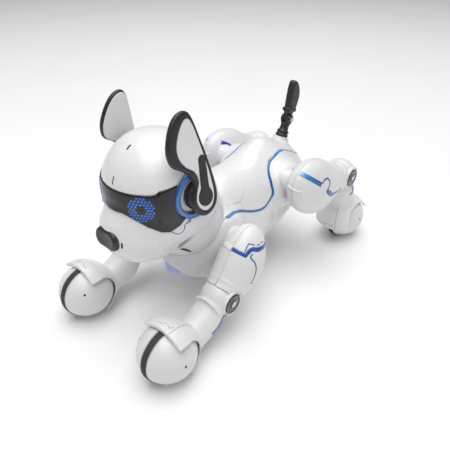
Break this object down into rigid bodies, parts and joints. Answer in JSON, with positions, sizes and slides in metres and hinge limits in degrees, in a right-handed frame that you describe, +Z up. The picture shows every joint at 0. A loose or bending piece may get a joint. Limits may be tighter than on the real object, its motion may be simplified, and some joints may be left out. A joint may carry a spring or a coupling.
{
  "type": "robot dog toy",
  "caption": "Robot dog toy with a smoked visor face, blade ears, a folding tail and jointed legs that end in ball-shaped wheeled feet, posed lying stretched out.",
  "frame": {"origin": "middle of the footprint, on the floor plane that the tyres touch", "axes": "+X the dog's left, the dog looks along -Y, +Z up"},
  "size_m": [0.163, 0.3304, 0.2091],
  "materials": {
    "white_shell": "glossy white moulded ABS",
    "visor_gloss": "smoked gloss black",
    "pivot_cap": "gloss black cap on a steel pin",
    "grey_inner": "grey moulded plastic",
    "tyre": "soft black rubber",
    "chest_lens": "frosted lavender-blue lens",
    "collar": "glossy pale grey ABS",
    "battery_wrap": "shrink-wrapped lithium cell",
    "circuit_board": "green solder mask",
    "gearbox": "grey gear housing",
    "screw_steel": "zinc-plated steel",
    "black_trim": "satin charcoal plastic",
    "inlay_black": "fine-grained charcoal plastic",
    "tail_plastic": "soft charcoal plastic",
    "nose_rubber": "soft black rubber",
    "blue_light": "translucent blue light guide"
  },
  "bodies": {
    "torso": {"body_upper_shell": "white_shell", "body_lower_shell": "white_shell", "battery_cover": "white_shell", "tail_socket": "white_shell", "chest_light": "chest_lens", "neck_collar": "collar", "battery_pack": "battery_wrap", "main_board": "circuit_board", "speaker": "grey_inner", "leg_gearmotors": "gearbox", "neck_gearmotor": "gearbox", "body_screws": "screw_steel"},
    "head": {"head_front_shell": "white_shell", "head_rear_shell": "white_shell", "visor": "visor_gloss", "nose": "nose_rubber", "led_boards": "circuit_board", "ear_light_rings": "blue_light", "head_sensor_board": "circuit_board"},
    "power_switch": {"power_switch": "black_trim"},
    "tail_stem": {"tail_stem": "tail_plastic", "tail_pin": "screw_steel"},
    "tail_blade": {"tail_blade": "tail_plastic"},
    "ear_left": {"ear_left_shell": "black_trim", "ear_left_panel": "white_shell", "ear_left_inlay": "inlay_black"},
    "ear_right": {"ear_right_shell": "black_trim", "ear_right_panel": "white_shell", "ear_right_inlay": "inlay_black"},
    "front_left_upper_leg": {"front_left_upper_leg_outer": "white_shell", "front_left_upper_leg_inner": "white_shell"},
    "front_left_lower_leg": {"front_left_lower_leg": "white_shell", "front_left_pivot_pin": "pivot_cap", "front_left_wheel_caps": "white_shell"},
    "front_left_wheel": {"front_left_wheel_hub": "grey_inner", "front_left_tyre": "tyre"},
    "front_right_upper_leg": {"front_right_upper_leg_outer": "white_shell", "front_right_upper_leg_inner": "white_shell"},
    "front_right_lower_leg": {"front_right_lower_leg": "white_shell", "front_right_pivot_pin": "pivot_cap", "front_right_wheel_caps": "white_shell"},
    "front_right_wheel": {"front_right_wheel_hub": "grey_inner", "front_right_tyre": "tyre"},
    "hind_left_upper_leg": {"hind_left_upper_leg_outer": "white_shell", "hind_left_upper_leg_inner": "white_shell"},
    "hind_left_lower_leg": {"hind_left_lower_leg": "white_shell", "hind_left_pivot_pin": "pivot_cap", "hind_left_wheel_caps": "white_shell"},
    "hind_left_wheel": {"hind_left_wheel_hub": "grey_inner", "hind_left_tyre": "tyre"},
    "hind_right_upper_leg": {"hind_right_upper_leg_outer": "white_shell", "hind_right_upper_leg_inner": "white_shell"},
    "hind_right_lower_leg": {"hind_right_lower_leg": "white_shell", "hind_right_pivot_pin": "pivot_cap", "hind_right_wheel_caps": "white_shell"},
    "hind_right_wheel": {"hind_right_wheel_hub": "grey_inner", "hind_right_tyre": "tyre"}
  },
  "joints": [
    {"name": "neck_turn", "type": "hinge", "parent": "torso", "child": "head", "pos_m": [0, -0.062, 0.098], "axis": [0, -0.5, 0.866], "range_deg": [-25, 25]},
    {"name": "ear_left_tilt", "type": "hinge", "parent": "head", "child": "ear_left", "pos_m": [0.045, -0.084, 0.143], "axis": [1, 0, 0], "range_deg": [-15, 15]},
    {"name": "ear_right_tilt", "type": "hinge", "parent": "head", "child": "ear_right", "pos_m": [-0.045, -0.084, 0.143], "axis": [1, 0, 0], "range_deg": [-15, 15]},
    {"name": "shoulder_left", "type": "hinge", "parent": "torso", "child": "front_left_upper_leg", "pos_m": [0.0565, -0.04, 0.08], "axis": [1, 0, 0], "range_deg": [-20, 60]},
    {"name": "elbow_left", "type": "hinge", "parent": "front_left_upper_leg", "child": "front_left_lower_leg", "pos_m": [0.0565, -0.07565, 0.04288], "axis": [1, 0, 0], "range_deg": [-15, 35]},
    {"name": "front_left_wheel_spin", "type": "hinge", "parent": "front_left_lower_leg", "child": "front_left_wheel", "pos_m": [0.0565, -0.1394, 0.0258], "axis": [1, 0, 0], "continuous": true},
    {"name": "shoulder_right", "type": "hinge", "parent": "torso", "child": "front_right_upper_leg", "pos_m": [-0.0565, -0.04, 0.08], "axis": [1, 0, 0], "range_deg": [-20, 60]},
    {"name": "elbow_right", "type": "hinge", "parent": "front_right_upper_leg", "child": "front_right_lower_leg", "pos_m": [-0.0565, -0.07565, 0.04288], "axis": [1, 0, 0], "range_deg": [-15, 35]},
    {"name": "front_right_wheel_spin", "type": "hinge", "parent": "front_right_lower_leg", "child": "front_right_wheel", "pos_m": [-0.0565, -0.1394, 0.0258], "axis": [1, 0, 0], "continuous": true},
    {"name": "hip_left", "type": "hinge", "parent": "torso", "child": "hind_left_upper_leg", "pos_m": [0.0565, 0.042, 0.105], "axis": [1, 0, 0], "range_deg": [-75, 8]},
    {"name": "knee_left", "type": "hinge", "parent": "hind_left_upper_leg", "child": "hind_left_lower_leg", "pos_m": [0.0565, 0.11683, 0.08782], "axis": [1, 0, 0], "range_deg": [-5, 38]},
    {"name": "hind_left_wheel_spin", "type": "hinge", "parent": "hind_left_lower_leg", "child": "hind_left_wheel", "pos_m": [0.0565, 0.1394, 0.0258], "axis": [1, 0, 0], "continuous": true},
    {"name": "hip_right", "type": "hinge", "parent": "torso", "child": "hind_right_upper_leg", "pos_m": [-0.0565, 0.042, 0.105], "axis": [1, 0, 0], "range_deg": [-75, 8]},
    {"name": "knee_right", "type": "hinge", "parent": "hind_right_upper_leg", "child": "hind_right_lower_leg", "pos_m": [-0.0565, 0.11683, 0.08782], "axis": [1, 0, 0], "range_deg": [-5, 38]},
    {"name": "hind_right_wheel_spin", "type": "hinge", "parent": "hind_right_lower_leg", "child": "hind_right_wheel", "pos_m": [-0.0565, 0.1394, 0.0258], "axis": [1, 0, 0], "continuous": true},
    {"name": "tail_swivel", "type": "hinge", "parent": "torso", "child": "tail_stem", "pos_m": [0, 0.084, 0.125], "axis": [0, 0.4384, 0.8988], "range_deg": [-60, 60]},
    {"name": "tail_fold", "type": "hinge", "parent": "tail_stem", "child": "tail_blade", "pos_m": [0, 0.09255, 0.14253], "axis": [1, 0, 0], "range_deg": [-50, 25]},
    {"name": "power_slide", "type": "slide", "parent": "torso", "child": "power_switch", "axis": [0, -1, 0], "range_m": [0, 0.004]}
  ]
}
